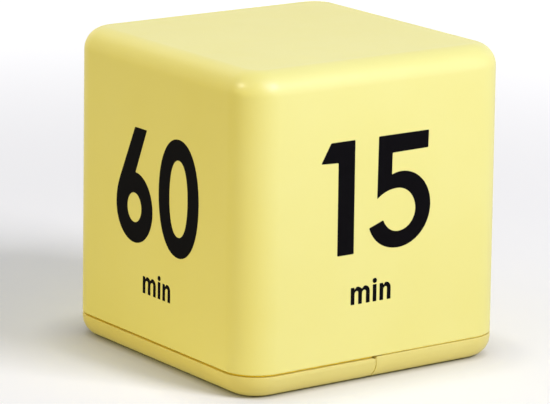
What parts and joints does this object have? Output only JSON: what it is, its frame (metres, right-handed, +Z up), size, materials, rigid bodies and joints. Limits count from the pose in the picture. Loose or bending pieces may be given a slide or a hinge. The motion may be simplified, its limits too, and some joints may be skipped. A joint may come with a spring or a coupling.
{
  "type": "cube timer",
  "caption": "Hollow moulded cube that times a set span when laid on one of its numbered sides; base with sliding battery door, display, switch and sounder.",
  "frame": {"origin": "middle of the underside, at the height of the surface that the cube stands on", "axes": "+Z up through the top face; -Y is the side marked 15 min; -X is the side marked 60 min"},
  "size_m": [0.0634, 0.0634, 0.0639],
  "materials": {
    "yellow_abs": "satin moulded",
    "clear_acrylic": "clear",
    "display_glass": "smooth",
    "white_plastic": "moulded",
    "silicone_rubber": "matte",
    "board_laminate": "solder mask",
    "black_resin": "glossy",
    "tinned_steel": "plated",
    "spring_steel": "plated",
    "black_plastic": "moulded",
    "copper_wire": "enamelled wire",
    "brass_sheet": "rolled",
    "ceramic_film": "fired",
    "cell_sleeve": "printed sleeve",
    "red_sleeve": "extruded",
    "black_sleeve": "extruded"
  },
  "bodies": {
    "case": {"main_housing": "yellow_abs", "base_cover": "yellow_abs", "lcd_window": "clear_acrylic", "lcd_panel": "display_glass", "lcd_holder": "white_plastic", "zebra_strip": "silicone_rubber", "circuit_board": "board_laminate", "chip_blob": "black_resin", "crystal_can": "tinned_steel", "capacitor": "black_plastic", "boost_coil": "copper_wire", "switch_frame": "tinned_steel", "buzzer_disc": "brass_sheet", "buzzer_ceramic": "ceramic_film", "foam_ring": "silicone_rubber", "tilt_can_1": "tinned_steel", "tilt_can_2": "tinned_steel", "tilt_can_3": "tinned_steel", "tilt_can_4": "tinned_steel", "tilt_plug_1": "black_plastic", "tilt_plug_2": "black_plastic", "tilt_plug_3": "black_plastic", "tilt_plug_4": "black_plastic", "battery_1": "cell_sleeve", "battery_2": "cell_sleeve", "contact_minus": "tinned_steel", "contact_plus": "tinned_steel", "contact_bridge": "tinned_steel", "contact_spring_1": "spring_steel", "contact_spring_2": "spring_steel", "lead_red": "red_sleeve", "lead_black": "black_sleeve", "buzzer_lead_1": "red_sleeve", "buzzer_lead_2": "black_sleeve", "cover_screw_1": "tinned_steel", "cover_screw_2": "tinned_steel", "cover_screw_3": "tinned_steel", "cover_screw_4": "tinned_steel", "board_screw_1": "tinned_steel", "board_screw_2": "tinned_steel", "board_screw_3": "tinned_steel"},
    "door": {"battery_door": "yellow_abs"},
    "knob": {"switch_knob": "black_plastic"},
    "ball_1": {"tilt_ball_1": "spring_steel"},
    "ball_2": {"tilt_ball_2": "spring_steel"},
    "ball_3": {"tilt_ball_3": "spring_steel"},
    "ball_4": {"tilt_ball_4": "spring_steel"}
  },
  "joints": [
    {"name": "door_slide", "type": "slide", "parent": "case", "child": "door", "axis": [-1, 0, 0], "range_m": [0, 0.034]},
    {"name": "knob_slide", "type": "slide", "parent": "case", "child": "knob", "axis": [1, 0, 0], "range_m": [0, 0.003]},
    {"name": "ball_1_roll", "type": "slide", "parent": "case", "child": "ball_1", "axis": [0.9781, 0, 0.2079], "range_m": [0, 0.00205]},
    {"name": "ball_2_roll", "type": "slide", "parent": "case", "child": "ball_2", "axis": [0, 0.9781, 0.2079], "range_m": [0, 0.00205]},
    {"name": "ball_3_roll", "type": "slide", "parent": "case", "child": "ball_3", "axis": [-0.9781, 0, 0.2079], "range_m": [0, 0.00205]},
    {"name": "ball_4_roll", "type": "slide", "parent": "case", "child": "ball_4", "axis": [0, -0.9781, 0.2079], "range_m": [0, 0.00205]}
  ]
}
